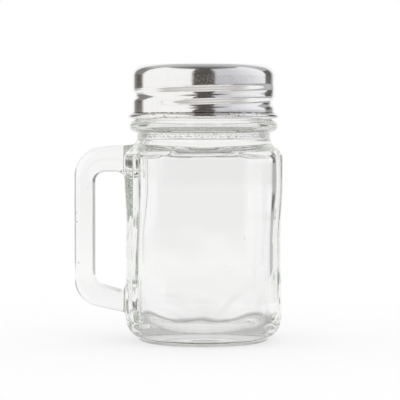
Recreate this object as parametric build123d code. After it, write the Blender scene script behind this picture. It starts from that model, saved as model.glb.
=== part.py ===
"""Square glass mug jar used as a shaker, with a handle, a seal ring and a screw cap.

Millimetres. Z is up, the jar stands on z = 0 and its axis is the Z axis.
The handle is on the -X side and the viewer stands on the -Y side.
Four pieces: the jar, its applied handle, the seal ring and the stainless cap.
"""
import math
import os

from build123d import *

# Body of the jar: a block with a rounded square plan and slightly bowed sides.
BODY_HALF = 26.85
BODY_BOW = 0.9
BODY_CORNER = 15.9
BODY_BOTTOM = 1.5
BODY_TOP = 68.1
HEEL_RADIUS = 7.1
SHOULDER_RADIUS = 5.0

# Turned outline that rounds the block's corners into the foot and the neck, as (radius, z).
HEEL_CURVE = ((22.6, 0.9), (28.3, 4.7), (32.8, 10.8))
SHOULDER_CURVE = ((32.8, 61.4), (29.0, 66.2), (22.6, 69.0))

# Foot ring under the body and the push-up inside it.
FOOT_RADIUS = 22.3
FOOT_TOP = 3.0
FOOT_EDGE = 0.5
PUSH_UP_OUTER = 18.2
PUSH_UP_INNER = 11.8
PUSH_UP_DEPTH = 0.5

# Hollow of the jar, a little deeper from front to back than from side to side.
CAVITY_HALF_WIDTH = 22.6
CAVITY_HALF_DEPTH = 23.3
CAVITY_BOW = 0.2
CAVITY_CORNER = 6.5
CAVITY_FLOOR = 3.9
CAVITY_TOP = 64.8
CAVITY_FLOOR_EDGE = 3.6
CAVITY_TOP_EDGE = 1.6
BORE_RADIUS = 19.8
BORE_START = 55.6

# Turned outline that rounds the hollow's lower corners, as (radius, z).
BOWL_CURVE = ((19.0, 2.6), (26.8, 5.2), (31.6, 10.4))

# Round neck, its bead and the screw finish above it.
NECK_RADIUS = 23.05
NECK_START = 60.0
BEAD_CENTRE_Z = 74.1
BEAD_CENTRE_RADIUS = 23.5
BEAD_ROUND = 2.0
FINISH_RADIUS = 22.4
FINISH_START = 77.6
FINISH_STEP = 0.7
LIP_TOP = 93.6
LIP_OUTER_ROUND = 0.9
LIP_INNER_ROUND = 0.8

# Thread shared by the glass and the cap: right-handed, six turns to the inch.
THREAD_PITCH = 25.4 / 6
CAP_THREAD_Z = 82.3
CAP_THREAD_FROM = -130.0
CAP_THREAD_TO = 350.0
GLASS_THREAD_ABOVE = 1.95
GLASS_THREAD_FROM = -60.0
GLASS_THREAD_TO = 430.0
GLASS_THREAD_ROOT = (22.1, 1.15)
GLASS_THREAD_CREST = (23.55, 0.35)

# Stamped screw cap with a rolled thread and an outward curl.
CAP_TOP = 95.0
CAP_RADIUS = 24.55
CAP_SHEET = 0.4
CAP_CORNER = 3.8
CURL_Z = 77.4
CURL_ROUND = 0.95
CURL_END = 115.0
GROOVE_MOUTH = (25.15, 2.12)
GROOVE_BED = (23.65, 0.45)
RIDGE_ROOT = (24.35, 1.83)
RIDGE_CREST = (23.25, 0.6)

# A thread's turned end is a little slimmer than the thread it closes.
END_SHARE = 0.97
END_STEP = 0.02

# Sprinkle holes in the top of the cap: one, a ring of six and a ring of twelve.
HOLE_DIAMETER = 2.0
HOLE_RINGS = ((5.0, 6), (10.0, 12))
HOLE_PIN_LENGTH = 4.0

# Seal ring between the lip and the cap.
SEAL_INNER = 18.9
SEAL_OUTER = 21.5
SEAL_EDGE = 0.8

# Handle: a flat-sided bar drawn in the XZ plane, joined to two pads on the jar.
JOINT_X = -28.0
HANDLE_OUTER_X = -44.6
HANDLE_INNER_X = -37.4
HANDLE_HALF_DEPTH = 4.8
HANDLE_EDGE = 2.9
ARM_TOP_Z = 67.4
ARM_TOP_DROP = 0.3
ARM_UNDER_Z = 58.3
TOP_OUTER_ROUND = 10.3
TOP_INNER_ROUND = 3.5
LOW_OUTER_CENTRE = (-34.9, 21.3)
LOW_OUTER_ROUND = 9.7
LOW_OUTER_SLOPE = 12.3
LOW_INNER_CENTRE = (-33.8, 22.7)
LOW_INNER_ROUND = 3.6
LOW_INNER_SLOPE = 15.5

# Pads that carry the handle.
PAD_HALF_WIDTH = 5.9
PAD_INNER_X = -23.5
PAD_EDGE = 1.2
UPPER_PAD_Z = (57.0, 67.5)
LOWER_PAD_Z = (8.6, 18.7)

# How far a cutting shape reaches past the face it opens.
CUT_PAST = 1.0

# Rims nearer to the joint face than this stay sharp.
JOINT_CLEAR = 0.1


def bowed_plan(half_width, half_depth, bow, corner):
    """Rounded rectangle whose sides bow outwards, on the XY plane."""
    x, y = half_width - bow, half_depth - bow
    sides = [
        ThreePointArc((x, -y, 0), (half_width, 0, 0), (x, y, 0)),
        ThreePointArc((x, y, 0), (0, half_depth, 0), (-x, y, 0)),
        ThreePointArc((-x, y, 0), (-half_width, 0, 0), (-x, -y, 0)),
        ThreePointArc((-x, -y, 0), (0, -half_depth, 0), (x, -y, 0)),
    ]
    plan = make_face(sides)
    return fillet(plan.vertices(), corner)


def rounded_block(plan, bottom, top, bottom_edge, top_edge):
    """Upright block over a plan, with rounded rims."""
    block = extrude(Pos(0, 0, bottom) * plan, top - bottom)
    rims = block.edges().group_by(Axis.Z)
    block = fillet(rims[0], bottom_edge)
    rims = block.edges().group_by(Axis.Z)
    return fillet(rims[-1], top_edge)


def turned(points):
    """Solid turned round the Z axis from a closed polygon of (radius, z) points."""
    outline = Polyline(*[(radius, 0, z) for radius, z in points], close=True)
    return revolve(make_face(outline), Axis.Z, 360)


def turned_curve(low, high):
    """Solid turned from a lower curve, an upright side and an upper curve of (radius, z) points."""
    low = [(radius, 0, z) for radius, z in low]
    high = [(radius, 0, z) for radius, z in high]
    foot, lid = (0, 0, low[0][2]), (0, 0, high[-1][2])
    outline = [Line(foot, low[0]), ThreePointArc(*low), Line(low[-1], high[0])]
    outline += [ThreePointArc(*high), Line(high[-1], lid), Line(lid, foot)]
    return revolve(make_face(outline), Axis.Z, 360)


def thread_end(height, degrees, inner, outer):
    """Turned end of a thread: a cone that points at the axis, between two (radius, half-width)."""
    (inner_radius, inner_half), (outer_radius, outer_half) = inner, outer
    length = outer_radius - inner_radius - 2 * END_STEP
    cone = Cone(END_SHARE * inner_half, END_SHARE * outer_half, length)
    middle = (inner_radius + outer_radius) / 2
    return Pos(0, 0, height) * Rot(0, 0, degrees) * Pos(middle, 0, 0) * Rot(0, 90, 0) * cone


def thread_bar(z_at_zero, start, end, inner, outer):
    """Flat-topped thread along the helix, between two (radius, half-width) lines."""
    (inner_radius, inner_half), (outer_radius, outer_half) = inner, outer
    first_height = z_at_zero + THREAD_PITCH * start / 360
    last_height = z_at_zero + THREAD_PITCH * end / 360
    line = Helix(THREAD_PITCH, last_height - first_height, inner_radius)
    line = Pos(0, 0, first_height) * Rot(0, 0, start) * line
    turn = math.radians(start)
    across = Plane(origin=line @ 0, x_dir=(math.cos(turn), math.sin(turn), 0), z_dir=line % 0)
    depth = outer_radius - inner_radius
    outline = Polyline((0, -inner_half), (depth, -outer_half), (depth, outer_half),
                       (0, inner_half), close=True)
    bar = sweep(across * make_face(outline), path=line, is_frenet=True)
    bar += thread_end(first_height, start, inner, outer)
    return bar + thread_end(last_height, end, inner, outer)


def jar_neck():
    """Round neck from inside the shoulder up to the lip, with its bead."""
    neck = turned([(0, NECK_START), (NECK_RADIUS, NECK_START), (NECK_RADIUS, FINISH_START),
                   (FINISH_RADIUS, FINISH_START + FINISH_STEP), (FINISH_RADIUS, LIP_TOP),
                   (0, LIP_TOP)])
    neck = fillet(neck.edges().group_by(Axis.Z)[-1], LIP_OUTER_ROUND)
    bead = Torus(BEAD_CENTRE_RADIUS, BEAD_ROUND)
    return neck + Pos(0, 0, BEAD_CENTRE_Z) * bead


def jar_foot():
    """Low round foot the jar stands on."""
    foot = Pos(0, 0, FOOT_TOP / 2) * Cylinder(FOOT_RADIUS, FOOT_TOP)
    return fillet(foot.edges().group_by(Axis.Z)[0], FOOT_EDGE)


def jar_push_up():
    """Hollow under the base, inside the foot ring."""
    return turned([(0, -CUT_PAST), (PUSH_UP_OUTER, -CUT_PAST), (PUSH_UP_OUTER, 0),
                   (PUSH_UP_INNER, PUSH_UP_DEPTH), (0, PUSH_UP_DEPTH)])


def handle_pad(bottom, top):
    """Raised pad on the side of the jar where one end of the handle joins."""
    depth = PAD_INNER_X - JOINT_X
    pad = Pos((PAD_INNER_X + JOINT_X) / 2, 0, (bottom + top) / 2)
    pad = pad * Box(depth, 2 * PAD_HALF_WIDTH, top - bottom)
    return fillet(pad.edges().group_by(Axis.X)[0], PAD_EDGE)


def jar_body():
    """Solid body of the jar, square at the middle and round at the foot and the shoulder."""
    plan = bowed_plan(BODY_HALF, BODY_HALF, BODY_BOW, BODY_CORNER)
    block = rounded_block(plan, BODY_BOTTOM, BODY_TOP, HEEL_RADIUS, SHOULDER_RADIUS)
    return block & turned_curve(HEEL_CURVE, SHOULDER_CURVE)


def jar_cavity():
    """Hollow of the jar with its round bore."""
    plan = bowed_plan(CAVITY_HALF_WIDTH, CAVITY_HALF_DEPTH, CAVITY_BOW, CAVITY_CORNER)
    hollow = rounded_block(plan, CAVITY_FLOOR, CAVITY_TOP, CAVITY_FLOOR_EDGE, CAVITY_TOP_EDGE)
    hollow &= turned_curve(BOWL_CURVE, SHOULDER_CURVE)
    length = LIP_TOP + CUT_PAST - BORE_START
    return hollow + Pos(0, 0, BORE_START + length / 2) * Cylinder(BORE_RADIUS, length)


def jar():
    """Whole glass jar in one piece."""
    solid = jar_body() + jar_neck()
    solid += jar_foot()
    solid += handle_pad(*UPPER_PAD_Z)
    solid += handle_pad(*LOWER_PAD_Z)
    solid += thread_bar(CAP_THREAD_Z + GLASS_THREAD_ABOVE, GLASS_THREAD_FROM, GLASS_THREAD_TO,
                        GLASS_THREAD_ROOT, GLASS_THREAD_CREST)
    solid -= jar_cavity()
    solid -= jar_push_up()
    rim = solid.edges().filter_by(GeomType.CIRCLE).group_by(Axis.Z)[-1].sort_by(SortBy.LENGTH)[0]
    return fillet(rim, LIP_INNER_ROUND)


def handle_outline():
    """Closed outline of the handle in the XZ plane."""
    low_turn = math.radians(LOW_OUTER_SLOPE)
    inner_turn = math.radians(LOW_INNER_SLOPE)
    low_x, low_z = LOW_OUTER_CENTRE
    in_x, in_z = LOW_INNER_CENTRE
    top_x = HANDLE_OUTER_X + TOP_OUTER_ROUND
    top_z = ARM_TOP_Z - ARM_TOP_DROP - TOP_OUTER_ROUND
    hook_x = HANDLE_INNER_X + TOP_INNER_ROUND
    hook_z = ARM_UNDER_Z - TOP_INNER_ROUND
    low_end = (low_x - LOW_OUTER_ROUND * math.sin(low_turn),
               low_z - LOW_OUTER_ROUND * math.cos(low_turn))
    low_foot = (JOINT_X, low_end[1] - (JOINT_X - low_end[0]) * math.tan(low_turn))
    in_end = (in_x - LOW_INNER_ROUND * math.sin(inner_turn),
              in_z - LOW_INNER_ROUND * math.cos(inner_turn))
    in_foot = (JOINT_X, in_end[1] - (JOINT_X - in_end[0]) * math.tan(inner_turn))

    def corner(centre_x, centre_z, radius, first, last):
        """Arc about a centre between two angles in the XZ plane."""
        angles = [math.radians(a) for a in (first, (first + last) / 2, last)]
        points = [(centre_x + radius * math.cos(a), 0, centre_z + radius * math.sin(a))
                  for a in angles]
        return ThreePointArc(*points)

    def line(start, end):
        """Straight edge between two (x, z) points."""
        return Line((start[0], 0, start[1]), (end[0], 0, end[1]))

    edges = [
        line((JOINT_X, ARM_TOP_Z), (top_x, top_z + TOP_OUTER_ROUND)),
        corner(top_x, top_z, TOP_OUTER_ROUND, 90, 180),
        line((HANDLE_OUTER_X, top_z), (low_x - LOW_OUTER_ROUND, low_z)),
        corner(low_x, low_z, LOW_OUTER_ROUND, 180, 270 - LOW_OUTER_SLOPE),
        line(low_end, low_foot),
        line(low_foot, in_foot),
        line(in_foot, in_end),
        corner(in_x, in_z, LOW_INNER_ROUND, 270 - LOW_INNER_SLOPE, 180),
        line((HANDLE_INNER_X, in_z), (HANDLE_INNER_X, hook_z)),
        corner(hook_x, hook_z, TOP_INNER_ROUND, 180, 90),
        line((hook_x, ARM_UNDER_Z), (JOINT_X, ARM_UNDER_Z)),
        line((JOINT_X, ARM_UNDER_Z), (JOINT_X, ARM_TOP_Z)),
    ]
    return make_face(edges)


def handle():
    """Glass handle: the outline made solid, with its long edges rounded."""
    bar = extrude(handle_outline(), HANDLE_HALF_DEPTH, both=True)
    sides = bar.edges().group_by(Axis.Y)
    rims = [edge for edge in list(sides[0]) + list(sides[-1])
            if edge.center().X < JOINT_X - JOINT_CLEAR]
    return fillet(rims, HANDLE_EDGE)


def cap_shell():
    """Thin shell of the cap with its outward curl, before the thread is rolled in."""
    inner_radius = CAP_RADIUS - CAP_SHEET
    flat = CAP_RADIUS - CAP_CORNER
    bend_z = CAP_TOP - CAP_CORNER
    curl_hollow = CURL_ROUND - CAP_SHEET
    curl_x = CAP_RADIUS + curl_hollow

    def on_circle(centre, radius, degrees):
        """Point of a circle in the XZ plane."""
        turn = math.radians(degrees)
        return (centre[0] + radius * math.cos(turn), 0, centre[1] + radius * math.sin(turn))

    bend = (flat, bend_z)
    curl = (curl_x, CURL_Z)
    curl_middle = (CURL_END - 180) / 2
    outline = [
        Line((0, 0, CAP_TOP), (flat, 0, CAP_TOP)),
        ThreePointArc((flat, 0, CAP_TOP), on_circle(bend, CAP_CORNER, 45), (CAP_RADIUS, 0, bend_z)),
        Line((CAP_RADIUS, 0, bend_z), (CAP_RADIUS, 0, CURL_Z)),
        ThreePointArc((CAP_RADIUS, 0, CURL_Z), on_circle(curl, curl_hollow, curl_middle),
                      on_circle(curl, curl_hollow, CURL_END)),
        Line(on_circle(curl, curl_hollow, CURL_END), on_circle(curl, CURL_ROUND, CURL_END)),
        ThreePointArc(on_circle(curl, CURL_ROUND, CURL_END), on_circle(curl, CURL_ROUND, curl_middle),
                      (inner_radius, 0, CURL_Z)),
        Line((inner_radius, 0, CURL_Z), (inner_radius, 0, bend_z)),
        ThreePointArc((inner_radius, 0, bend_z), on_circle(bend, CAP_CORNER - CAP_SHEET, 45),
                      (flat, 0, CAP_TOP - CAP_SHEET)),
        Line((flat, 0, CAP_TOP - CAP_SHEET), (0, 0, CAP_TOP - CAP_SHEET)),
        Line((0, 0, CAP_TOP - CAP_SHEET), (0, 0, CAP_TOP)),
    ]
    return revolve(make_face(outline), Axis.Z, 360)


def sprinkle_holes():
    """Pins that cut the sprinkle holes in the top of the cap."""
    pin = Pos(0, 0, CAP_TOP) * Cylinder(HOLE_DIAMETER / 2, HOLE_PIN_LENGTH)
    pins = [pin]
    for ring_radius, count in HOLE_RINGS:
        for index in range(count):
            pins.append(Rot(0, 0, 360 * index / count) * Pos(ring_radius, 0, 0) * pin)
    return pins


def cap():
    """Stainless screw cap with its rolled thread and sprinkle holes."""
    solid = cap_shell()
    solid += thread_bar(CAP_THREAD_Z, CAP_THREAD_FROM, CAP_THREAD_TO, RIDGE_CREST, RIDGE_ROOT)
    solid -= thread_bar(CAP_THREAD_Z, CAP_THREAD_FROM, CAP_THREAD_TO, GROOVE_BED, GROOVE_MOUTH)
    for pin in sprinkle_holes():
        solid -= pin
    return solid


def seal_ring():
    """Soft flat ring between the lip and the underside of the cap."""
    thickness = CAP_TOP - CAP_SHEET - LIP_TOP
    ring = Cylinder(SEAL_OUTER, thickness) - Cylinder(SEAL_INNER, thickness)
    ring = fillet(ring.edges().group_by(Axis.Z)[-1].sort_by(SortBy.LENGTH)[-1], SEAL_EDGE)
    return Pos(0, 0, LIP_TOP + thickness / 2) * ring


def single_solid(shape):
    """The one solid of a finished node."""
    solids = shape.solids()
    if len(solids) != 1:
        raise ValueError(f"expected one solid, got {len(solids)}")
    return solids[0]


def main():
    os.makedirs("parts", exist_ok=True)
    nodes = {"jar": jar(), "handle": handle(), "cap": cap(), "seal_ring": seal_ring()}
    for name, shape in nodes.items():
        export_step(single_solid(shape), f"parts/{name}.step")


main()
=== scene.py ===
"""Studio scene of a small square glass mug jar with a stainless screw cap."""

from functools import lru_cache
import math

import bmesh
import bpy
from mathutils import Matrix, Vector, noise


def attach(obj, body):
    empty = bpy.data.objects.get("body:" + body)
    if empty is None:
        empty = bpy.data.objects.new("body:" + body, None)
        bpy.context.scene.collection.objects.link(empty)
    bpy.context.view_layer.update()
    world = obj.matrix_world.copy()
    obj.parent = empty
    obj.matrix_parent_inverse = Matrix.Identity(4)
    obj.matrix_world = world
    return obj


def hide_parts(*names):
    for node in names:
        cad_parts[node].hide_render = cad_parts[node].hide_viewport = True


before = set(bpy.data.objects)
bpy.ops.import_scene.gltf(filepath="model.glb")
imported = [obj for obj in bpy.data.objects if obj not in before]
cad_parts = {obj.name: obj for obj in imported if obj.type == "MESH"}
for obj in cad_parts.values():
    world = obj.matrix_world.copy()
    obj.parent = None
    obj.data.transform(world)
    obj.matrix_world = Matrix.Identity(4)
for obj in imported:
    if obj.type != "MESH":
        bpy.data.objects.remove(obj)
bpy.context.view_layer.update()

MM = 0.001

# Viewpoint, read off the photograph in pixels of its square frame.
FRAME_PX = 400
FOCAL_PX = 1800.0
PX_PER_MM = 2.893
AXIS_COLUMN_PX = 203.6
EYE_LEVEL_PX = 125.0
BASE_ROW_PX = 340.3

# Outside of the jar's body, in millimetres like the sizes that follow.
BODY_HALF = 26.85
BODY_CORNER = 15.7
SIDE_BOW = 0.9
CORNER_POWER = 2.2
FOOT_RADIUS = 22.3
FOOT_HEIGHT = 1.65
FOOT_EDGE = 0.7
FOOT_CREASE = 0.4
CREASE_HEIGHTS = (1.1, 1.4, 1.5)
HEEL_LEAD = (0.06, 0.03)
HEEL_HEIGHT = 7.5
HEEL_TURN = 13.0
SHOULDER_TOP = 68.1
SHOULDER_REACH = 5.3
SHOULDER_DROP = 4.8
SHOULDER_TURN = 3.8
NECK_RADIUS = 23.05
NECK_FILLET = 2.3
NECK_TOP = 71.6

# Heights between which nothing joins the body's sides, and between which they are pressed square.
OPEN_SIDE = (20.6, 55.0)
PRESSED_SIDE = (FOOT_HEIGHT - 0.1, SHOULDER_TOP + 1)

# Fullness under the shoulder and slimness at the middle: how far out, the height where it starts,
# the height it takes to come, the height where it ends, the height it takes to go.
SHOULDER_FULLNESS = (0.35, 42.0, 14.0, 66.5, 4.0)
MIDDLE_SLIMNESS = (-0.33, 12.0, 14.0, 52.0, 14.0)

# Underside: the flat of the push-up, the foot of its slope and the ring that the jar stands on.
PUSH_UP_DEPTH = 0.5
PUSH_UP_RADIUS = 11.8
PUSH_UP_FOOT = (17.6, 0.12)
STANDING_RING = ((18.2, 0.04), (18.9, 0.0), (20.2, 0.0), (21.4, 0.0))

# Bead round the neck, the step above it and the screw finish, as (radius, z) where in pairs.
BEAD_FOOT = (23.15, 71.9)
BEAD_CENTRE = (23.5, 74.1)
BEAD_ROUND = 2.0
BEAD_STEP = ((23.75, 76.1), (23.4, 76.5), (23.2, 77.2), (22.8, 77.9))
FINISH_RADIUS = 22.4
FINISH_SPAN = (78.4, 92.4)
LIP_TOP = 93.6
LIP_ROUND = 1.0

# Inside of the jar: its right and handle sides low down and high up, its front and back.
HOLLOW_RIGHT = (23.03, 23.7)
HOLLOW_LEFT = (22.85, 22.15)
HOLLOW_FRONT = 23.3
HOLLOW_CORNER_RIGHT = 10.3
HOLLOW_CORNER_LEFT = 7.5
FLOOR = 3.9
FLOOR_REACH = 5.0
FLOOR_RISE = 5.0
FLOOR_TURN = 10.0
CEILING = 64.8
CEILING_REACH = 2.2
CEILING_DROP = 2.0
BORE_RADIUS = 19.8
BORE_TOP = 92.2
BORE_FOOT_ROUND = 1.1
HOLLOW_MIDDLE = 30.0
HOLLOW_SPREAD = (32.0, 54.0)
CEILING_EASE = 0.6

# Inner edge of the lip, as (radius, depth below the lip).
LIP_INSIDE = ((21.4, 0.0), (20.9, 0.05), (20.3, 0.3), (19.95, 0.75))

# Waves of the pressed glass: depth on the wall, added depth in the base, top of the base,
# length of a wave and the place in the noise. The outside has them up to a height.
OUTER_WAVES = (0.05, 0.08, 13.0, 7.0, 4.0)
INNER_WAVES = (0.12, 0.16, 15.0, 6.0, 9.0)
WAVE_STRETCH = 2.6
BASE_FADE = 6.0
OUTER_WAVES_TOP = 71.0

# Where the handle joins the body: middle height, half height, flare above, flare below. Nothing
# short of JOINT_SIDE_X or wider than JOINT_SIDE_HALF is drawn out.
JOINT_X = -27.6
JOINT_FLARES = ((62.25, 5.15, 0.7, 1.5), (13.6, 3.75, 1.6, 1.6))
SIDE_FLARE = 1.7
JOINT_CORNER = 1.2
JOINT_SIDE_X = -20.0
JOINT_SIDE_HALF = 10.0

# Fold of glass pressed up above the lower joint: its ends, how far it stands out, half width,
# the width over which it fades, and a lean that puts its crest nearer the low end below 1.
FOLD_SPAN = (17.6, 20.0)
FOLD_OUT = 0.75
FOLD_HALF = 6.0
FOLD_FADE = 3.0
FOLD_LEAN = 0.7

# Handle in the XZ plane: bends as (centre x, centre z, radius), slopes in degrees, and the
# heights of its low end.
HANDLE_END_X = JOINT_X - 0.03
HANDLE_TOP_Z = 67.4
HANDLE_UNDER_Z = 58.3
HANDLE_ROOT_Z = 57.1
ROOT_RUN = 2.6
HANDLE_DEPTH = 4.7
SECTION_POWER = 0.55
SECTION_STEPS = 48
OUTER_TOP_BEND = (-34.3, 56.8, 10.3)
INNER_TOP_BEND = (-33.9, 54.8, 3.5)
OUTER_LOW_BEND = (-34.9, 21.3, 9.7)
INNER_LOW_BEND = (-33.8, 22.7, 3.6)
OUTER_LOW_SLOPE = 12.3
INNER_LOW_SLOPE = 15.5
LOW_JOINT = (9.87, 17.36)
FACE_MARGIN = 0.02

# Air bubbles left in the glass: place and radius. They stand a little taller than wide.
HANDLE_BUBBLES = (
    ((-43.4, -2.6, 44.2), 0.22),
    ((-43.3, -1.8, 41.0), 0.30),
    ((-42.9, -2.2, 27.0), 0.24),
    ((-40.2, 1.5, 52.6), 0.15),
)
WALL_BUBBLES = (
    ((13.5, -24.8, 36.8), 0.20),
    ((-6.0, -25.2, 44.5), 0.13),
    ((7.4, -24.7, 27.5), 0.12),
    ((19.3, -24.9, 52.0), 0.14),
    ((-22.8, -16.5, 46.5), 0.22),
)
BUBBLE_STRETCH = 1.5

# Thread, shared by glass and cap: spans and fades in degrees, zones in height.
PITCH = 25.4 / 6
CAP_THREAD_Z = 82.3
CAP_THREAD_SPAN = (-130.0, 350.0)
CAP_THREAD_ZONE = (78.6, 91.0)
CAP_THREAD_FADE = 35.0
GLASS_THREAD_Z = CAP_THREAD_Z + 1.95
GLASS_THREAD_SPAN = (-60.0, 430.0)
GLASS_THREAD_ZONE = (78.0, 92.0)
GLASS_THREAD_FADE = 30.0
GLASS_THREAD_HEIGHT = 1.15
GLASS_THREAD_REACH = 1.5

# Cap: its sheet, the roll at its rim with bearings in degrees, the groove and the holes.
CAP_TOP = 95.0
CAP_RADIUS = 24.55
CAP_SHEET = 0.4
CAP_CORNER = 3.8
CAP_DOME = 0.05
SKIRT_FOOT = 78.3
SKIRT_INSIDE = 23.0
CURL_Z = 77.4
CURL_ROUND = 0.95
CURL_MOUTH = 28.3333
CURL_END = 112.0
GROOVE_DEPTH = 0.85
GROOVE_REACH = 2.1
PLATE_RADIUS = 13.0
HOLE_RADIUS = 1.0
HOLE_RINGS = ((5.0, 6), (10.0, 12))

# Steps round the axis, made as equal sectors, and how near two vertices are merged.
JAR_STEPS = 320
CAP_STEPS = 256
SECTORS = 8
HOLE_STEPS = 28
MERGE_GAP = 0.0005

# Rounds of halving that find a point on the rounded square, and how far the points of the jar
# are drawn towards its corners and its handle side.
HALVINGS = 26
CORNER_CROWDING = 0.05
HANDLE_CROWDING = 0.25


def smooth(value):
    """Eases 0 to 1, held at both ends."""
    value = min(max(value, 0.0), 1.0)
    return value * value * (3 - 2 * value)


def on_circle(centre_x, centre_z, radius, degrees):
    """Point of a circle, as (radius from the axis, height)."""
    turn = math.radians(degrees)
    return centre_x + radius * math.cos(turn), centre_z + radius * math.sin(turn)


def arc(centre_x, centre_z, radius, first, last, steps):
    """Points along an arc, as (radius from the axis, height)."""
    turns = [first + (last - first) * index / steps for index in range(steps + 1)]
    return [on_circle(centre_x, centre_z, radius, degrees) for degrees in turns]


def rows(start, end, count):
    """Points between two (radius, height) points, without the first."""
    points = []
    for index in range(1, count + 1):
        share = index / count
        points.append((start[0] + (end[0] - start[0]) * share, start[1] + (end[1] - start[1]) * share))
    return points


def spin_profile(mesh, profile, steps):
    """Turns a (radius, height) profile round the Z axis and returns the new vertices."""
    before = set(mesh.verts) | set(mesh.edges) | set(mesh.faces)
    chain = [mesh.verts.new((radius, 0, height)) for radius, height in profile]
    edges = [mesh.edges.new(pair) for pair in zip(chain, chain[1:])]
    angle = math.tau / SECTORS
    bmesh.ops.spin(mesh, geom=chain + edges, cent=(0, 0, 0), axis=(0, 0, 1),
                   angle=angle, steps=steps // SECTORS, use_merge=False, use_duplicate=False)
    kinds = (mesh.verts, mesh.edges, mesh.faces)
    sector = [item for kind in kinds for item in kind if item not in before]
    while angle < math.tau:
        copy = bmesh.ops.duplicate(mesh, geom=sector)["geom"]
        verts = [item for item in copy if isinstance(item, bmesh.types.BMVert)]
        bmesh.ops.rotate(mesh, cent=(0, 0, 0), matrix=Matrix.Rotation(angle, 3, "Z"), verts=verts)
        sector += copy
        angle *= 2
    return [item for item in sector if isinstance(item, bmesh.types.BMVert)]


def add_bubbles(mesh, bubbles):
    """Small air bubbles in the glass, their faces turned towards the air inside."""
    for place, size in bubbles:
        around = Matrix.Translation(place) @ Matrix.Diagonal((size, size, size * BUBBLE_STRETCH, 1))
        made = bmesh.ops.create_icosphere(mesh, subdivisions=2, radius=1, matrix=around)["verts"]
        faces = list({face for vertex in made for face in vertex.link_faces})
        bmesh.ops.reverse_faces(mesh, faces=faces)


def add_object(name, data):
    """New object of the scene that holds a mesh or a camera."""
    made = bpy.data.objects.new(name, data)
    bpy.context.scene.collection.objects.link(made)
    return made


def place_mesh(mesh, name, material):
    """New object at the origin with a finished mesh and its material."""
    data = bpy.data.meshes.new(name)
    mesh.to_mesh(data)
    mesh.free()
    data.materials.append(material)
    return add_object(name, data)


def finish_mesh(mesh, name, node, body, material, bubbles=()):
    """Closes a mesh, scales it to metres and hangs it on its body in place of a CAD node."""
    bmesh.ops.remove_doubles(mesh, verts=mesh.verts, dist=MERGE_GAP)
    bmesh.ops.recalc_face_normals(mesh, faces=mesh.faces)
    add_bubbles(mesh, bubbles)
    bmesh.ops.scale(mesh, vec=(MM, MM, MM), verts=mesh.verts)
    piece = place_mesh(mesh, name, material)
    piece.data.polygons.foreach_set("use_smooth", [True] * len(piece.data.polygons))
    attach(piece, body)
    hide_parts(node)


@lru_cache(maxsize=None)
def plan_reach(turn, half_x, half_y, corner, bow):
    """Distance from the axis to the edge of a rounded square with slightly bowed sides."""
    low, high = 0.0, 1.5 * max(half_x, half_y)
    for _ in range(HALVINGS):
        middle = (low + high) / 2
        x = abs(middle * math.cos(turn))
        y = abs(middle * math.sin(turn))
        over_x = x + bow * (y / half_y) ** 2 - (half_x - corner)
        over_y = y + bow * (x / half_x) ** 2 - (half_y - corner)
        round_off = max(over_x, 0) ** CORNER_POWER + max(over_y, 0) ** CORNER_POWER
        outside = round_off ** (1 / CORNER_POWER) + min(max(over_x, over_y), 0)
        if outside < corner:
            low = middle
        else:
            high = middle
    return low


def evened(x, y):
    """Bearing of a point, drawn towards the corners and the handle, where the shape turns fastest."""
    turn = math.atan2(y, x)
    return round(turn + CORNER_CROWDING * math.sin(4 * turn) + HANDLE_CROWDING * math.sin(turn), 6)


def thread_rise(turn, height, base, span, reach, fade):
    """Share of the thread's full height at a point of the wall."""
    best = 0.0
    degrees = math.degrees(turn)
    for lap in (-1, 0, 1, 2):
        total = degrees + 360 * lap
        if span[0] <= total <= span[1]:
            offset = abs(height - (base + PITCH * total / 360)) / reach
            if offset < 1:
                ends = smooth(min(total - span[0], span[1] - total) / fade)
                best = max(best, ends * math.cos(offset * math.pi / 2) ** 2)
    return best


def waviness(place, waves):
    """How far the waves of pressed glass lift a point: longer up the wall, deeper in the base."""
    wall, base, base_top, size, seed = waves
    x, y, z = place
    spot = (x / size + seed, y / size + seed * 2, z / (size * WAVE_STRETCH) + seed * 3)
    return (wall + base * smooth((base_top - z) / BASE_FADE)) * noise.noise(Vector(spot))


def quarter(centre_x, centre_z, reach, rise, first, last, steps):
    """Points along an elliptical arc, without the first."""
    points = []
    for index in range(1, steps + 1):
        turn = math.radians(first + (last - first) * index / steps)
        points.append((centre_x + reach * math.cos(turn), centre_z + rise * math.sin(turn)))
    return points


def eased_corner(start, corner, end, steps):
    """Points along a curve that leaves one line and joins another at a corner."""
    points = []
    for index in range(1, steps + 1):
        share = index / steps
        first, second, third = (1 - share) ** 2, 2 * share * (1 - share), share ** 2
        points.append(tuple(first * a + second * b + third * c for a, b, c in zip(start, corner, end)))
    return points


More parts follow.
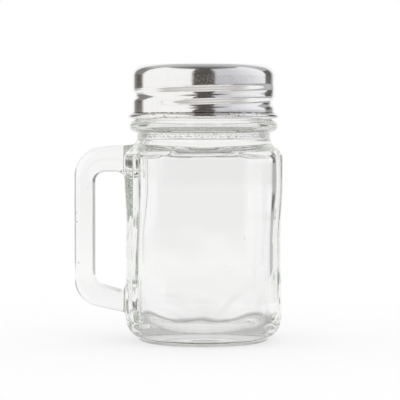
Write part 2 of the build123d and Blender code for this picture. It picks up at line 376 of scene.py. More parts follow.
def outer_profile():
    """Outside of the jar at the middle of one side, from the push-up to the lip."""
    points = [(0.0, PUSH_UP_DEPTH)]
    points += rows((0.0, PUSH_UP_DEPTH), (PUSH_UP_RADIUS, PUSH_UP_DEPTH), 5)
    points += rows((PUSH_UP_RADIUS, PUSH_UP_DEPTH), PUSH_UP_FOOT, 4)
    points += STANDING_RING
    points += arc(FOOT_RADIUS - FOOT_EDGE, FOOT_EDGE, FOOT_EDGE, -90, 0, 5)[1:]
    above_foot, crease_low, crease_high = CREASE_HEIGHTS
    points += [(FOOT_RADIUS, above_foot)]
    points += [(FOOT_RADIUS - FOOT_CREASE, crease_low), (FOOT_RADIUS - FOOT_CREASE, crease_high)]
    points += [(FOOT_RADIUS + HEEL_LEAD[0], FOOT_HEIGHT - HEEL_LEAD[1])]
    heel_top = FOOT_HEIGHT + HEEL_HEIGHT
    points += quarter(FOOT_RADIUS, heel_top, BODY_HALF - FOOT_RADIUS, HEEL_HEIGHT, -88, 0, 20)
    shoulder_z = SHOULDER_TOP - SHOULDER_DROP
    open_low, open_high = OPEN_SIDE
    points += rows((BODY_HALF, heel_top), (BODY_HALF, open_low), 24)
    points += rows((BODY_HALF, open_low), (BODY_HALF, open_high), 14)
    points += rows((BODY_HALF, open_high), (BODY_HALF, shoulder_z), 18)
    centre_x = BODY_HALF - SHOULDER_REACH
    meet = math.degrees(math.acos((NECK_RADIUS - centre_x) / SHOULDER_REACH))
    curve = quarter(centre_x, shoulder_z, SHOULDER_REACH, SHOULDER_DROP, 0, meet, 22)
    corner = curve[-1]
    curve = [point for point in curve if math.dist(point, corner) > NECK_FILLET]
    points += curve
    neck_foot = (NECK_RADIUS, corner[1] + NECK_FILLET)
    points += eased_corner(curve[-1], corner, neck_foot, 8)
    points += rows(neck_foot, (NECK_RADIUS, NECK_TOP), 3)
    points += [BEAD_FOOT]
    points += arc(*BEAD_CENTRE, BEAD_ROUND, -66, 70, 16)
    points += BEAD_STEP
    finish_low, finish_high = FINISH_SPAN
    points += [(FINISH_RADIUS, finish_low)]
    points += rows((FINISH_RADIUS, finish_low), (FINISH_RADIUS, finish_high), 22)
    points += arc(FINISH_RADIUS - LIP_ROUND, LIP_TOP - LIP_ROUND, LIP_ROUND, 0, 90, 5)
    return points


def swell(height, out, start, coming, end, going):
    """How far a side stands out at a height, between where a swelling starts and ends."""
    return out * smooth((height - start) / coming) * smooth((end - height) / going)


def joint_rise(y, z):
    """How far out a point of the handle side is drawn, 0 on the wall and 1 at the joint."""
    rise = 0.0
    for middle, half_height, above, below in JOINT_FLARES:
        over_y = max(abs(y) - HANDLE_DEPTH + JOINT_CORNER, 0)
        over_z = max(abs(z - middle) - half_height + JOINT_CORNER, 0)
        away = math.hypot(over_y, over_z)
        upright = (over_z / away) ** 2 if away else 0.0
        flare = SIDE_FLARE + ((above if z > middle else below) - SIDE_FLARE) * upright
        gap = min(max((away - JOINT_CORNER) / flare, 0), 1)
        rise = max(rise, (1 - gap) ** 2)
    return rise


def fold_rise(y, z):
    """Share of the pressed fold above the lower joint."""
    low, high = FOLD_SPAN
    share = (z - low) / (high - low)
    if not 0 < share < 1:
        return 0.0
    return math.sin(math.pi * share ** FOLD_LEAN) * smooth((FOLD_HALF - abs(y)) / FOLD_FADE)


def press_outside(vertex):
    """Presses the turned outside square and adds the thread, the waves, the joints and the fold."""
    x, y, z = vertex.co
    radius = math.hypot(x, y)
    if radius < 1e-6:
        return
    turn = evened(x, y)
    if radius > FOOT_RADIUS and PRESSED_SIDE[0] < z < PRESSED_SIDE[1]:
        low = smooth((z - FOOT_HEIGHT) / HEEL_TURN)
        high = smooth((SHOULDER_TOP - z) / SHOULDER_TURN)
        square = round(min(low, high), 5)
        half = round(radius + swell(z, *SHOULDER_FULLNESS) + swell(z, *MIDDLE_SLIMNESS), 5)
        corner = half + (BODY_CORNER - half) * square
        radius = plan_reach(turn, half, half, corner, SIDE_BOW * square)
    elif GLASS_THREAD_ZONE[0] < z < GLASS_THREAD_ZONE[1]:
        rise = thread_rise(turn, z, GLASS_THREAD_Z, GLASS_THREAD_SPAN,
                           GLASS_THREAD_REACH, GLASS_THREAD_FADE)
        radius += GLASS_THREAD_HEIGHT * rise
    if FOOT_HEIGHT < z < OUTER_WAVES_TOP:
        radius += waviness(vertex.co, OUTER_WAVES)
    x, y = radius * math.cos(turn), radius * math.sin(turn)
    if x < JOINT_SIDE_X and abs(y) < JOINT_SIDE_HALF:
        x += (JOINT_X - x) * joint_rise(y, z)
        x -= FOLD_OUT * fold_rise(y, z)
    vertex.co = (x, y, z)


def inner_profile():
    """Inside of the jar at the middle of one side, from the lip down to the floor."""
    points = [(radius, LIP_TOP - depth) for radius, depth in LIP_INSIDE]
    bore_end = CEILING + BORE_FOOT_ROUND
    points += rows((BORE_RADIUS, BORE_TOP), (BORE_RADIUS, bore_end), 8)
    round_x = BORE_RADIUS + BORE_FOOT_ROUND
    points += quarter(round_x, bore_end, BORE_FOOT_ROUND, BORE_FOOT_ROUND, 180, 270, 7)
    wall_top = CEILING - CEILING_DROP
    points += quarter(HOLLOW_FRONT - CEILING_REACH, wall_top, CEILING_REACH, CEILING_DROP, 88, 0, 14)
    wall_foot = FLOOR + FLOOR_RISE
    points += rows((HOLLOW_FRONT, wall_top), (HOLLOW_FRONT, HOLLOW_MIDDLE), 22)
    points += rows((HOLLOW_FRONT, HOLLOW_MIDDLE), (HOLLOW_FRONT, wall_foot), 16)
    points += quarter(HOLLOW_FRONT - FLOOR_REACH, wall_foot, FLOOR_REACH, FLOOR_RISE, 0, -90, 18)
    points += rows((HOLLOW_FRONT - FLOOR_REACH, FLOOR), (0.0, FLOOR), 6)
    return points


def press_inside(vertex):
    """Presses the turned hollow square, still round at the floor and the ceiling, and adds waves."""
    x, y, z = vertex.co
    radius = math.hypot(x, y)
    if radius < 1e-6:
        return
    turn = evened(x, y)
    on_right = math.cos(turn) > 0
    low_down = z < HOLLOW_MIDDLE
    still = HOLLOW_FRONT - FLOOR_REACH if low_down else BORE_RADIUS + BORE_FOOT_ROUND
    if z <= CEILING and radius > still:
        full = (radius - still) / (HOLLOW_FRONT - still)
        square = round(smooth((z - FLOOR) / FLOOR_TURN) if low_down else full ** CEILING_EASE, 5)
        below, above = HOLLOW_RIGHT if on_right else HOLLOW_LEFT
        low, high = HOLLOW_SPREAD
        side = below + (above - below) * smooth((z - low) / (high - low))
        half_x = round(still + (side - still) * full, 5)
        half_y = round(radius, 5)
        corner = HOLLOW_CORNER_RIGHT if on_right else HOLLOW_CORNER_LEFT
        corner = min(half_x, half_y) + (corner - min(half_x, half_y)) * square
        radius = plan_reach(turn, half_x, half_y, corner, SIDE_BOW * square)
        radius += full * waviness(vertex.co, INNER_WAVES)
    vertex.co = (radius * math.cos(turn), radius * math.sin(turn), z)


def jar_piece(material):
    """The jar: outside and hollow turned from their profiles and pressed square."""
    mesh = bmesh.new()
    for vertex in spin_profile(mesh, outer_profile(), JAR_STEPS):
        press_outside(vertex)
    for vertex in spin_profile(mesh, inner_profile(), JAR_STEPS):
        press_inside(vertex)
    finish_mesh(mesh, "glass_jar", "jar", "jar", material, WALL_BUBBLES)


def bend_pair(outer, inner, outer_turn, inner_turn):
    """Matching points on the outer and inner edge of a bend."""
    pair = []
    for (centre_x, centre_z, radius), degrees in ((outer, outer_turn), (inner, inner_turn)):
        turn = math.radians(degrees)
        pair.append(Vector((centre_x + radius * math.cos(turn), 0, centre_z + radius * math.sin(turn))))
    return pair


def handle_stations():
    """Pairs of outer and inner edge points along the handle, from the top joint to the low one."""
    stations = []
    root_steps = 7
    for index in range(root_steps + 1):
        share = index / root_steps
        x = HANDLE_END_X - ROOT_RUN * share
        under = HANDLE_UNDER_Z + (HANDLE_ROOT_Z - HANDLE_UNDER_Z) * (1 - share) ** 2
        stations.append((Vector((x, 0, HANDLE_TOP_Z)), Vector((x, 0, under))))
    bend_steps = 16
    top = bend_pair(OUTER_TOP_BEND, INNER_TOP_BEND, 90, 90)
    stations += between(stations[-1], top, 5)
    for index in range(1, bend_steps + 1):
        degrees = 90 + 90 * index / bend_steps
        stations.append(bend_pair(OUTER_TOP_BEND, INNER_TOP_BEND, degrees, degrees))
    low = bend_pair(OUTER_LOW_BEND, INNER_LOW_BEND, 180, 180)
    stations += between(stations[-1], low, 16)
    for index in range(1, bend_steps + 1):
        share = index / bend_steps
        stations.append(bend_pair(OUTER_LOW_BEND, INNER_LOW_BEND,
                                  180 + (90 - OUTER_LOW_SLOPE) * share,
                                  180 + (90 - INNER_LOW_SLOPE) * share))
    ends = []
    for point, slope in zip(stations[-1], (OUTER_LOW_SLOPE, INNER_LOW_SLOPE)):
        run = HANDLE_END_X - point.x
        ends.append(Vector((HANDLE_END_X, 0, point.z - run * math.tan(math.radians(slope)))))
    stations += between(stations[-1], ends, 6)
    return stations


def between(first, last, count):
    """Station pairs evenly between two pairs, without the first."""
    pairs = []
    for index in range(1, count + 1):
        share = index / count
        pairs.append([a.lerp(b, share) for a, b in zip(first, last)])
    return pairs


def station_frame(pair):
    """Matrix that places a unit section across the bar at one station."""
    outer, inner = pair
    middle = (outer + inner) / 2
    across = (outer - inner).normalized()
    depth = Vector((0, 1, 0))
    along = across.cross(depth)
    half = (outer - inner).length / 2
    return Matrix((
        (across.x * half, depth.x * HANDLE_DEPTH, along.x, middle.x),
        (across.y * half, depth.y * HANDLE_DEPTH, along.y, middle.y),
        (across.z * half, depth.z * HANDLE_DEPTH, along.z, middle.z),
        (0, 0, 0, 1),
    ))


def handle_piece(material):
    """The handle: one rounded section drawn along its stations."""
    mesh = bmesh.new()
    ring = bmesh.ops.create_circle(mesh, cap_ends=False, radius=1, segments=SECTION_STEPS)["verts"]
    for vertex in ring:
        for axis in (0, 1):
            value = vertex.co[axis]
            vertex.co[axis] = math.copysign(abs(value) ** SECTION_POWER, value)
    stations = handle_stations()
    place = station_frame(stations[0])
    bmesh.ops.transform(mesh, matrix=place, verts=ring)
    first_ring = list(mesh.edges)
    edges = first_ring
    for pair in stations[1:]:
        made = bmesh.ops.extrude_edge_only(mesh, edges=edges)["geom"]
        verts = [item for item in made if isinstance(item, bmesh.types.BMVert)]
        edges = [item for item in made if isinstance(item, bmesh.types.BMEdge)]
        following = station_frame(pair)
        bmesh.ops.transform(mesh, matrix=following @ place.inverted(), verts=verts)
        place = following
    bmesh.ops.contextual_create(mesh, geom=first_ring)
    bmesh.ops.contextual_create(mesh, geom=edges)
    finish_mesh(mesh, "glass_handle", "handle", "jar", material, HANDLE_BUBBLES)


def cap_profile():
    """Closed section of the cap's sheet, from the middle of the top round the curl and back."""
    flat = CAP_RADIUS - CAP_CORNER
    bend_z = CAP_TOP - CAP_CORNER
    inner = CAP_RADIUS - CAP_SHEET
    curl_x = CAP_RADIUS + CURL_ROUND - CAP_SHEET
    points = [(PLATE_RADIUS, CAP_TOP)]
    points += rows((PLATE_RADIUS, CAP_TOP), (flat, CAP_TOP - CAP_DOME), 5)
    points += arc(flat, bend_z, CAP_CORNER, 89, 0, 14)[1:]
    points += rows((CAP_RADIUS, bend_z), (CAP_RADIUS, SKIRT_FOOT), 52)
    points += [on_circle(curl_x, CURL_Z, CURL_ROUND - CAP_SHEET, CURL_MOUTH)]
    points += arc(curl_x, CURL_Z, CURL_ROUND, CURL_END, -180, 18)
    points += rows((inner, CURL_Z), (inner, bend_z), 54)
    points += arc(flat, bend_z, CAP_CORNER - CAP_SHEET, 0, 90, 10)[1:]
    points += rows((flat, CAP_TOP - CAP_SHEET), (PLATE_RADIUS, CAP_TOP - CAP_SHEET), 5)
    return points


def sprinkle_plate(mesh):
    """Pierced middle of the cap's top: two flat faces joined by the walls of the holes."""
    centres = [Vector((0, 0, 0))]
    for ring_radius, count in HOLE_RINGS:
        for index in range(count):
            around = Matrix.Rotation(math.tau * index / count, 3, "Z")
            centres.append(around @ Vector((ring_radius, 0, 0)))
    walls = [[] for _ in centres]
    for level in (CAP_TOP, CAP_TOP - CAP_SHEET):
        lift = Matrix.Translation((0, 0, level))
        rim = bmesh.ops.create_circle(mesh, radius=PLATE_RADIUS, segments=CAP_STEPS,
                                      matrix=lift)["verts"]
        edges = rim_edges(rim)
        for centre, wall in zip(centres, walls):
            hole = bmesh.ops.create_circle(mesh, radius=HOLE_RADIUS, segments=HOLE_STEPS,
                                           matrix=lift @ Matrix.Translation(centre))["verts"]
            wall += rim_edges(hole)
            edges += rim_edges(hole)
        bmesh.ops.triangle_fill(mesh, use_beauty=True, edges=edges)
    for wall in walls:
        for edge in wall:
            edge.smooth = False
        bmesh.ops.bridge_loops(mesh, edges=wall)


def rim_edges(verts):
    """Edges that run along a ring of vertices."""
    ring = set(verts)
    found = []
    for vertex in verts:
        found += [edge for edge in vertex.link_edges if edge.other_vert(vertex) in ring]
    return list(dict.fromkeys(found))


def roll_thread(vertex):
    """Rolls the helical groove into both faces of the skirt."""
    x, y, z = vertex.co
    radius = math.hypot(x, y)
    low, high = CAP_THREAD_ZONE
    if radius < SKIRT_INSIDE or z < low or z > high:
        return
    turn = math.atan2(y, x)
    rise = thread_rise(turn, z, CAP_THREAD_Z, CAP_THREAD_SPAN, GROOVE_REACH, CAP_THREAD_FADE)
    radius -= GROOVE_DEPTH * rise
    vertex.co = (radius * math.cos(turn), radius * math.sin(turn), z)


def cap_piece(material):
    """The screw cap: sheet turned from its section, with the thread rolled in."""
    mesh = bmesh.new()
    for vertex in spin_profile(mesh, cap_profile(), CAP_STEPS):
        roll_thread(vertex)
    sprinkle_plate(mesh)
    finish_mesh(mesh, "screw_cap", "cap", "cap", material)


# Patterns of the surfaces: grain as (stretch of the coordinates, scale, detail), so that a small
# stretch makes it long that way, and specks as (scale, cut), where a higher cut leaves fewer.
GLASS_WAVES = ((1, 1, 0.2), 160, 1.0)
DASH_GRAIN = ((1, 1, 1.8), 1000, 1.0)
MOULD_SPECKS = (1300, 0.58)
STEEL_STREAKS = ((1, 1, 0.05), 900, 3.0)
STEEL_DUST = ((1, 1, 0.6), 3200, 2.0)
GRIME_SPECKS = (1700, 0.6)
DIRT_AND_SHADE_SPECKS = (700, 0.42)
FOAM_PORES = ((1, 1, 1), 1500, 4.0)
SPECK_EDGE = 14.0

# Glass: its surface where clear and where dark, with dust on the neck and painted shade in the
# crease over the foot, the tint and density of its body.
GLASS_IOR = 1.52
GLASS_CLEAR = (0.99, 0.993, 0.99)
GLASS_DUST_AND_SHADE = (0.18, 0.18, 0.17)
GLASS_TINT = (0.76, 0.80, 0.72)
GLASS_DENSITY = 4.5

# Marks on the glass, as (low, high, soft edge) heights: rough marks of the mould, dusty dashes
# and painted shade in the crease over the foot. DASH_CUT is the gain and offset that turn grain to
# dashes.
# A relief is given by its strength and depth.
MOULD_MARKS = (70.0, 71.6, 0.3)
NECK_DASHES = (70.1, 70.9, 0.3)
FOOT_CREASE_SHADE = (1.15, 1.6, 0.12)
MARK_HEIGHT = 3.5
DASH_CUT = (9.0, -5.05)
FOOT_CREASE_SHADE_SHARE = 0.95
WAVE_SHARE = 0.3
GLASS_RELIEF = (0.35, 0.1 * MM)

# Steel: its tones, the grime round the curl, the line of dirt and painted shade in the crease over it,
# how far streaks and matt specks roughen it, and its relief.
STEEL_DULL = (0.88, 0.875, 0.87)
STEEL_BRIGHT = (0.95, 0.945, 0.94)
GRIME = (0.45, 0.4, 0.35)
DIRT_AND_SHADE = (0.10, 0.09, 0.08)
GRIME_BAND = (76.0, 79.0, 0.8)
DIRT_AND_SHADE_LINE = (78.2, 78.75, 0.2)
DIRT_AND_SHADE_THICK = (0.6, 0.4)
STREAK_ROUGHNESS = (0.1, 0.05)
MATT_CUT = (7.0, -3.6)
MATT_ROUGHNESS = 0.13
DUST_SHARE = 0.6
STEEL_RELIEF = (0.3, 0.02 * MM)

# Foam of the seal, in its pores and between them, and its relief.
FOAM_DARK = (0.78, 0.78, 0.75)
FOAM_LIGHT = (0.9, 0.9, 0.88)
FOAM_RELIEF = (0.6, 0.1 * MM)


def new_material(name):
    """Empty node material with its Principled shader."""
    material = bpy.data.materials.new(name)
    material.use_nodes = True
    return material, material.node_tree.nodes["Principled BSDF"]


def node_math(tree, kind, *values):
    """One math node of a material, fed by sockets or numbers."""
    node = tree.nodes.new("ShaderNodeMath")
    node.operation = kind
    for index, value in enumerate(values):
        if isinstance(value, (int, float)):
            node.inputs[index].default_value = value
        else:
            tree.links.new(value, node.inputs[index])
    return node.outputs[0]


def held(value):
    """Holds a math node's value between 0 and 1."""
    value.node.use_clamp = True
    return value


def axes(tree, source="Object"):
    """X, Y and Z of a piece's own coordinates, or of another source of them."""
    place = tree.nodes.new("ShaderNodeTexCoord")
    split = tree.nodes.new("ShaderNodeSeparateXYZ")
    tree.links.new(place.outputs[source], split.inputs[0])
    return split.outputs


def grain(tree, stretch, scale, detail):
    """Noise fixed to the piece, from its own coordinates stretched along each axis."""
    place = tree.nodes.new("ShaderNodeTexCoord")
    mapping = tree.nodes.new("ShaderNodeMapping")
    mapping.inputs["Scale"].default_value = stretch
    tree.links.new(place.outputs["Object"], mapping.inputs["Vector"])
    pattern = tree.nodes.new("ShaderNodeTexNoise")
    pattern.inputs["Scale"].default_value = scale
    pattern.inputs["Detail"].default_value = detail
    tree.links.new(mapping.outputs["Vector"], pattern.inputs["Vector"])
    return pattern.outputs[0]


def specks(tree, scale, cut):
    """1 on scattered specks, 0 between them; a higher cut leaves fewer."""
    pattern = grain(tree, (1, 1, 1), scale, 1.0)
    return held(node_math(tree, "MULTIPLY", node_math(tree, "SUBTRACT", pattern, cut), SPECK_EDGE))


def height_band(tree, low, high, soft):
    """1 between two heights of the piece in millimetres, fading out over a soft edge inside them."""
    height = axes(tree)[2]
    rise = node_math(tree, "DIVIDE", node_math(tree, "SUBTRACT", height, low * MM), soft * MM)
    fall = node_math(tree, "DIVIDE", node_math(tree, "SUBTRACT", high * MM, height), soft * MM)
    return held(node_math(tree, "MINIMUM", rise, fall))


def tone(tree, factor, first, second):
    """Colour between two colours by a factor."""
    blend = tree.nodes.new("ShaderNodeMix")
    blend.data_type = "RGBA"
    tree.links.new(factor, blend.inputs["Factor"])
    for name, colour in (("A", first), ("B", second)):
        if isinstance(colour, tuple):
            blend.inputs[name].default_value = (*colour, 1)
        else:
            tree.links.new(colour, blend.inputs[name])
    return blend.outputs["Result"]


def blend_surface(tree, factor, first, second):
    """Mixes two shaders by a socket or a number and makes the mix the surface."""
    blend = tree.nodes.new("ShaderNodeMixShader")
    if isinstance(factor, float):
        blend.inputs[0].default_value = factor
    else:
        tree.links.new(factor, blend.inputs[0])
    tree.links.new(first.outputs[0], blend.inputs[1])
    tree.links.new(second.outputs[0], blend.inputs[2])
    tree.links.new(blend.outputs[0], tree.nodes["Material Output"].inputs["Surface"])


def bump(tree, shader, height, strength, distance):
    """Fine relief on a shader."""
    relief = tree.nodes.new("ShaderNodeBump")
    relief.inputs["Strength"].default_value = strength
    relief.inputs["Distance"].default_value = distance
    tree.links.new(height, relief.inputs["Height"])
    tree.links.new(relief.outputs["Normal"], shader.inputs["Normal"])


def glass_relief(tree, shader):
    """Slow waves all over the glass and rough mould marks on the neck."""
    marks = node_math(tree, "MULTIPLY", specks(tree, *MOULD_SPECKS), height_band(tree, *MOULD_MARKS))
    marks = node_math(tree, "MULTIPLY", marks, MARK_HEIGHT)
    waves = node_math(tree, "MULTIPLY_ADD", grain(tree, *GLASS_WAVES), WAVE_SHARE, marks)
    bump(tree, shader, waves, *GLASS_RELIEF)


def glass_dust_and_shade(tree, shader):
    """Painted shade in the crease over the foot, and dust in a row of dashes round the neck."""
    dashes = held(node_math(tree, "MULTIPLY_ADD", grain(tree, *DASH_GRAIN), *DASH_CUT))
    dashes = node_math(tree, "MULTIPLY", dashes, height_band(tree, *NECK_DASHES))
    # Painted shade in the crease over the foot, darkening the glass as the dusty dashes do.
    crease = node_math(tree, "MULTIPLY", height_band(tree, *FOOT_CREASE_SHADE), FOOT_CREASE_SHADE_SHARE)
    dust = node_math(tree, "MAXIMUM", dashes, crease)
    tree.links.new(tone(tree, dust, GLASS_CLEAR, GLASS_DUST_AND_SHADE), shader.inputs["Base Color"])


def glass_material(name, fused):
    """Pressed glass with a faint green cast, open on the faces where handle and jar are fused."""
    material, shader = new_material(name)
    shader.inputs["Roughness"].default_value = 0.0
    shader.inputs["IOR"].default_value = GLASS_IOR
    shader.inputs["Transmission Weight"].default_value = 1.0
    tree = material.node_tree
    clear = tree.nodes.new("ShaderNodeBsdfTransparent")
    blend_surface(tree, fused(tree, axes(tree)), shader, clear)
    glass_relief(tree, shader)
    glass_dust_and_shade(tree, shader)
    body = tree.nodes.new("ShaderNodeVolumeAbsorption")
    body.inputs["Color"].default_value = (*GLASS_TINT, 1)
    body.inputs["Density"].default_value = GLASS_DENSITY
    tree.links.new(body.outputs[0], tree.nodes["Material Output"].inputs["Volume"])
    return material


def handle_end(tree, place):
    """1 on the end faces of the handle."""
    return node_math(tree, "GREATER_THAN", place[0], (HANDLE_END_X - FACE_MARGIN) * MM)


def boss_face(tree, place):
    """1 on the two patches of the jar that the handle's ends cover."""
    across = node_math(tree, "DIVIDE", node_math(tree, "ABSOLUTE", place[1]), HANDLE_DEPTH * MM)
    deep = node_math(tree, "POWER", across, 2 / SECTION_POWER)
    patches = []
    for low, high in ((HANDLE_ROOT_Z, HANDLE_TOP_Z), LOW_JOINT):
        rise = node_math(tree, "SUBTRACT", place[2], (low + high) / 2 * MM)
        rise = node_math(tree, "DIVIDE", node_math(tree, "ABSOLUTE", rise), (high - low) / 2 * MM)
        both = node_math(tree, "ADD", node_math(tree, "POWER", rise, 2 / SECTION_POWER), deep)
        patches.append(node_math(tree, "LESS_THAN", both, 1.0))
    outside = node_math(tree, "LESS_THAN", place[0], (JOINT_X + FACE_MARGIN) * MM)
    return node_math(tree, "MULTIPLY", outside, node_math(tree, "MAXIMUM", *patches))


def steel_material():
    """Bright stainless sheet with upright streaks, matt specks, and dirt and painted shade in the
    crease over the curl.
    """
    material, shader = new_material("stainless_sheet")
    shader.inputs["Metallic"].default_value = 1.0
    tree = material.node_tree
    streaks = grain(tree, *STEEL_STREAKS)
    clean = tone(tree, streaks, STEEL_DULL, STEEL_BRIGHT)
    grime = node_math(tree, "MULTIPLY", specks(tree, *GRIME_SPECKS), height_band(tree, *GRIME_BAND))
    # Painted shade with specks of dirt, in a line along the crease over the curl.
    dirt_and_shade = node_math(tree, "MULTIPLY_ADD", specks(tree, *DIRT_AND_SHADE_SPECKS), *DIRT_AND_SHADE_THICK)
    crease = node_math(tree, "MULTIPLY", dirt_and_shade, height_band(tree, *DIRT_AND_SHADE_LINE))
    worn = tone(tree, grime, clean, GRIME)
    tree.links.new(tone(tree, crease, worn, DIRT_AND_SHADE), shader.inputs["Base Color"])
    rough = node_math(tree, "MULTIPLY_ADD", streaks, *STREAK_ROUGHNESS)
    dust = grain(tree, *STEEL_DUST)
    matt = held(node_math(tree, "MULTIPLY_ADD", dust, *MATT_CUT))
    rough = node_math(tree, "MULTIPLY_ADD", matt, MATT_ROUGHNESS, rough)
    tree.links.new(rough, shader.inputs["Roughness"])
    bump(tree, shader, node_math(tree, "MULTIPLY_ADD", dust, DUST_SHARE, streaks), *STEEL_RELIEF)
    return material


def seal_material():
    """Soft white foam of the seal."""
    material, shader = new_material("seal_foam")
    tree = material.node_tree
    pores = grain(tree, *FOAM_PORES)
    tree.links.new(tone(tree, pores, FOAM_DARK, FOAM_LIGHT), shader.inputs["Base Color"])
    shader.inputs["Roughness"].default_value = 0.7
    bump(tree, shader, pores, *FOAM_RELIEF)
    return material


# Panels of the studio in painting order, later ones over earlier ones: bearings in degrees from
# the camera's side (left is negative), soft edge, elevations, soft edge, colour.
PANELS = (
    ((-155, -112), 6, (-90, 62), 5, (0.24, 0.24, 0.235)),
    ((-155, -112), 6, (-90, -0.6), 1.6, (0.52, 0.52, 0.51)),
    ((-138, -114), 3, (0.2, 6), 1.6, (0.10, 0.095, 0.09)),
    ((-117.5, -114), 2, (-1, 14), 3, (0.72, 0.60, 0.48)),
    ((117, 120), 2, (-1, 12), 3, (0.66, 0.52, 0.42)),
    ((-114, -18), 3, (-4, 60), 6, (0.98, 0.98, 0.97)),
    ((18, 118), 3, (0.2, 60), 1.6, (0.64, 0.64, 0.67)),
    ((75, 150), 60, (0.2, 60), 1.6, (0.93, 0.93, 0.96)),
    ((118, 155), 3, (-6, 62), 3, (0.44, 0.44, 0.44)),
    ((119, 141), 3, (0.6, 22), 0.8, (0.11, 0.105, 0.10)),
    ((-30, 50), 8, (-90, -3.5), 2, (0.85, 0.83, 0.80)),
    ((-124, -30), 8, (-90, -3.5), 2, (0.98, 0.98, 0.97)),
    ((50, 100), 12, (-90, -3.5), 2, (0.52, 0.52, 0.52)),
    ((100, 150), 8, (-90, -3.5), 2, (0.5, 0.5, 0.5)),
)

# Panels behind the jar, painted last and on both sides, so that their bearings count either way.
REAR_PANELS = (
    ((150, 200), 8, (-90, 66), 10, (0.97, 0.97, 0.97)),
    ((120, 200), 20, (38, 70), 16, (0.56, 0.56, 0.57)),
)

# Ceiling from an elevation up, lit at the back and dark towards the camera, and the dark room.
OVERHEAD = (0.60, 0.60, 0.61)
OVERHEAD_SPAN = (60, 200)
OVERHEAD_SOFT = 10
OVERHEAD_SLOPE = (1.1, 0.45)
ROOM = (0.085, 0.075, 0.068)
WHITE = (1.0, 1.0, 1.0)


def studio_world():
    """White light and backdrop; reflections and glass see a dark room with soft, bright panels."""
    world = bpy.data.worlds.new("studio")
    bpy.context.scene.world = world
    world.use_nodes = True
    tree = world.node_tree
    tree.nodes.clear()
    side, depth, height = axes(tree, "Generated")
    degree = 180 / math.pi
    front = node_math(tree, "MULTIPLY", depth, -1)
    bearing = node_math(tree, "MULTIPLY", node_math(tree, "ARCTAN2", side, front), degree)
    either = node_math(tree, "ABSOLUTE", bearing)
    elevation = node_math(tree, "MULTIPLY", node_math(tree, "ARCSINE", height), degree)

    def span(value, ends, soft):
        """1 between two angles, fading over a soft edge that lies half outside them."""
        rise = node_math(tree, "DIVIDE", node_math(tree, "SUBTRACT", value, ends[0] - soft / 2), soft)
        fall = node_math(tree, "DIVIDE", node_math(tree, "SUBTRACT", ends[1] + soft / 2, value), soft)
        return held(node_math(tree, "MINIMUM", rise, fall))

    studio = ROOM
    for turn, panels in ((bearing, PANELS), (either, REAR_PANELS)):
        for bearings, side_soft, heights, height_soft, colour in panels:
            cover = node_math(tree, "MULTIPLY", span(turn, bearings, side_soft),
                              span(elevation, heights, height_soft))
            studio = tone(tree, cover, studio, colour)
    back = held(node_math(tree, "MULTIPLY_ADD", depth, *OVERHEAD_SLOPE))
    over = span(elevation, OVERHEAD_SPAN, OVERHEAD_SOFT)
    studio = tone(tree, over, studio, tone(tree, back, ROOM, OVERHEAD))

    rays = tree.nodes.new("ShaderNodeLightPath")
    shaped = node_math(tree, "MAXIMUM", rays.outputs["Is Glossy Ray"],
                       rays.outputs["Is Transmission Ray"])
    background = tree.nodes.new("ShaderNodeBackground")
    tree.links.new(tone(tree, shaped, WHITE, studio), background.inputs["Color"])
    output = tree.nodes.new("ShaderNodeOutputWorld")
    tree.links.new(background.outputs[0], output.inputs["Surface"])


# Table top: half width, how far back its middle lies, and how much of its white is its own light.
TABLE_HALF = 200
TABLE_BACK = 60
TABLE_GLOW = 0.7

# Painted light and shade that reflections and the glass see on the table: lit at the back, painted
# shade ahead of the jar, a painted shadow on a ring round the jar's edge, and painted shade on the
# camera's half of a wider ring.
TABLE_LIT = (0.95, 0.95, 0.95)
PAINTED_SHADE_AHEAD = (0.50, 0.47, 0.43)
PAINTED_SHADOW_AT_FOOT = (0.20, 0.20, 0.19)
TABLE_SHADE = (0.42, 0.40, 0.37)
FOOT_RING = 31
SHADE_RING = 125

# How the tones fade with distance, as a gain per metre, or as that gain and an offset.
FOOT_RING_FADE = 70.0
AHEAD_FADE = (-16.0, -0.6)
SHADE_FADE = (-50.0, 2.7)
SHADE_SIDE = -30.0


def from_ring(tree, radius, ring):
    """Distance from a ring round the jar, in metres."""
    return node_math(tree, "ABSOLUTE", node_math(tree, "SUBTRACT", radius, ring * MM))


def table_tones(tree):
    """Table as reflections and the glass see it, with painted shadow round the jar and painted shade
    towards the camera.
    """
    depth = axes(tree)[1]
    place = tree.nodes.new("ShaderNodeTexCoord")
    reach = tree.nodes.new("ShaderNodeVectorMath")
    reach.operation = "LENGTH"
    tree.links.new(place.outputs["Object"], reach.inputs[0])
    radius = reach.outputs["Value"]

    ahead = held(node_math(tree, "MULTIPLY_ADD", depth, *AHEAD_FADE))
    open_table = tone(tree, ahead, TABLE_LIT, PAINTED_SHADE_AHEAD)
    clear_of_foot = node_math(tree, "MULTIPLY", from_ring(tree, radius, FOOT_RING), FOOT_RING_FADE)
    lit = tone(tree, held(clear_of_foot), PAINTED_SHADOW_AT_FOOT, open_table)
    shade = held(node_math(tree, "MULTIPLY_ADD", from_ring(tree, radius, SHADE_RING), *SHADE_FADE))
    camera_side = held(node_math(tree, "MULTIPLY", depth, SHADE_SIDE))
    return tone(tree, node_math(tree, "MULTIPLY", shade, camera_side), lit, TABLE_SHADE)


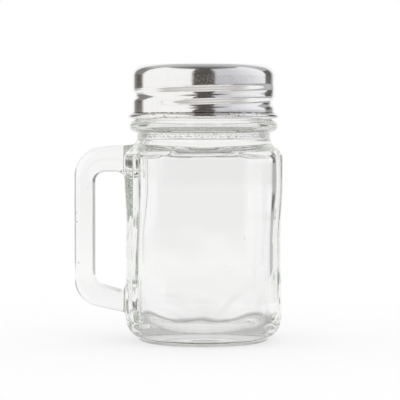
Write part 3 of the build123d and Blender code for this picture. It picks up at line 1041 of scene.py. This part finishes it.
def table_material():
    """White for the camera, with the jar's shadow on it, and for everything else a glow toned with
    painted light and shade.
    """
    material, shader = new_material("white_table")
    shader.inputs["Base Color"].default_value = (*WHITE, 1)
    shader.inputs["Roughness"].default_value = 0.9
    shader.inputs["Specular IOR Level"].default_value = 0.0
    tree = material.node_tree
    glow = tree.nodes.new("ShaderNodeEmission")
    seen = tree.nodes.new("ShaderNodeLightPath").outputs["Is Camera Ray"]
    # The table's own light is white for the camera and carries the painted light and shade for every
    # other ray.
    tree.links.new(tone(tree, seen, table_tones(tree), WHITE), glow.inputs["Color"])
    blend_surface(tree, TABLE_GLOW, shader, glow)
    return material


def table_piece(material):
    """Wide table top that the jar stands on."""
    mesh = bmesh.new()
    bmesh.ops.create_grid(mesh, x_segments=1, y_segments=1, size=TABLE_HALF * MM)
    bmesh.ops.translate(mesh, vec=(0, TABLE_BACK * MM, 0), verts=mesh.verts)
    table = place_mesh(mesh, "table_top", material)


def photo_camera():
    """Camera at the photograph's viewpoint, looking slightly down at the jar."""
    data = bpy.data.cameras.new("photo_camera")
    camera = add_object("photo_camera", data)
    distance = FOCAL_PX / PX_PER_MM * MM
    eye_height = (BASE_ROW_PX - EYE_LEVEL_PX) / PX_PER_MM * MM
    tilt = math.atan((FRAME_PX / 2 - EYE_LEVEL_PX) / FOCAL_PX)
    pan = math.atan((AXIS_COLUMN_PX - FRAME_PX / 2) / FOCAL_PX)
    data.sensor_width = 36
    data.lens = data.sensor_width * FOCAL_PX / FRAME_PX
    camera.location = (0, -distance, eye_height)
    camera.rotation_euler = (math.pi / 2 - tilt, 0, pan)
    bpy.context.scene.camera = camera


def dress_seal(material):
    """The seal ring keeps its CAD solid and takes the foam."""
    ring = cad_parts["seal_ring"]
    ring.data.materials.clear()
    ring.data.materials.append(material)


# How often light may pass or bounce in thick glass, and through the open faces at the joints.
GLASS_BOUNCES = 72
OPEN_FACES = 24


def render_settings():
    """Plain tones and enough bounces for thick glass."""
    scene = bpy.context.scene
    scene.view_settings.view_transform = "Standard"
    scene.cycles.max_bounces = GLASS_BOUNCES
    scene.cycles.transmission_bounces = GLASS_BOUNCES
    scene.cycles.glossy_bounces = GLASS_BOUNCES
    scene.cycles.transparent_max_bounces = OPEN_FACES


def main():
    """Builds the pieces, the table, the studio and the camera."""
    jar_piece(glass_material("jar_glass", boss_face))
    handle_piece(glass_material("handle_glass", handle_end))
    cap_piece(steel_material())
    dress_seal(seal_material())
    table_piece(table_material())
    studio_world()
    photo_camera()
    render_settings()


main()
